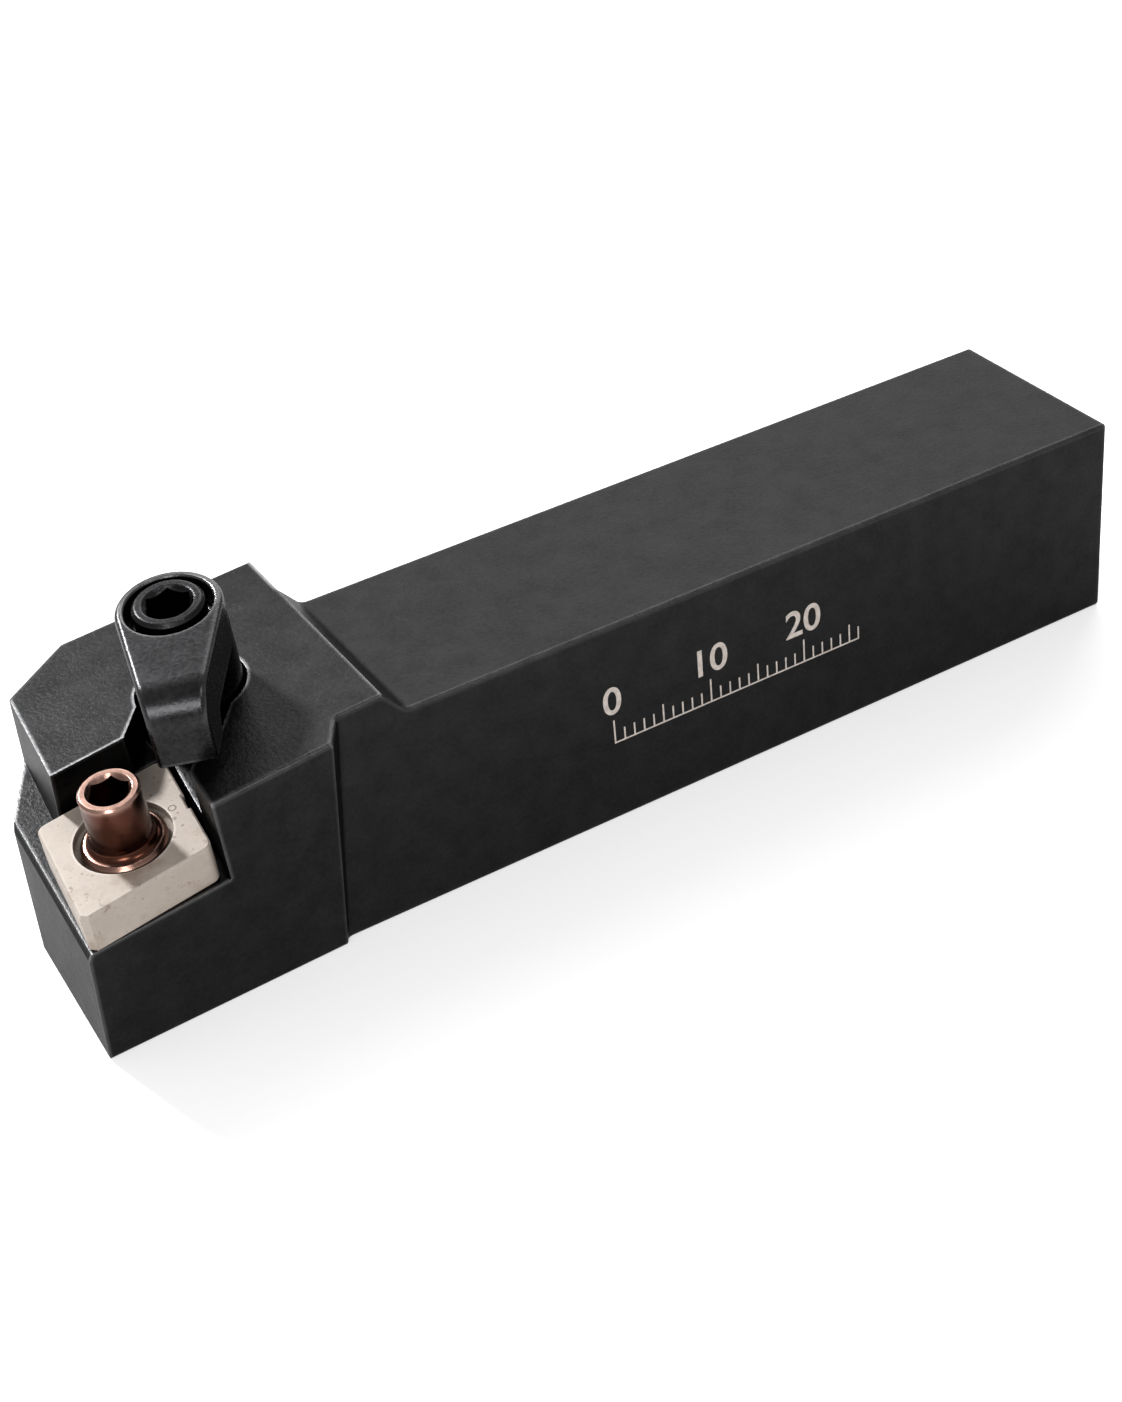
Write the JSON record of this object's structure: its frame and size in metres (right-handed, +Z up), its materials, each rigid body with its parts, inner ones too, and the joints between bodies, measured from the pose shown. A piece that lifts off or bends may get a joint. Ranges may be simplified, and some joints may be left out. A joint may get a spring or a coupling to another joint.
{
  "type": "turning tool holder",
  "caption": "External turning tool holder: square shank, offset head with a tilted rhombic pocket, shim seat, lock pin, and a gooseneck clamp on a double-ended screw.",
  "frame": {"origin": "middle of the shank's base face, where the holder rests in a tool post", "axes": "+X along the shank to the cutting end, +Y to the cutting side, +Z up"},
  "size_m": [0.1041, 0.0288, 0.0308],
  "materials": {
    "black_steel": "black oxide, satin",
    "seat_carbide": "ground, matt",
    "bronzed_steel": "bronzed, satin",
    "screw_steel": "black oxide, satin"
  },
  "bodies": {
    "holder": {"holder_body": "black_steel", "seat": "seat_carbide", "lock_pin": "bronzed_steel"},
    "clamp": {"clamp": "black_steel"},
    "screw": {"clamp_screw": "screw_steel"}
  },
  "joints": [
    {"name": "clamp_lift", "type": "slide", "parent": "holder", "child": "clamp", "axis": [0.0868, 0.0868, 0.9924], "range_m": [-0.00064, 0.004]},
    {"name": "screw_turn", "type": "hinge", "parent": "clamp", "child": "screw", "pos_m": [0.05016, -0.00134, 0.03013], "axis": [0.0868, 0.0868, 0.9924], "range_deg": [-115.3, 720.1]}
  ],
  "couplings": [
    {"joint": "screw_turn", "follows": "clamp_lift", "rad_per_m": 3141.6}
  ]
}
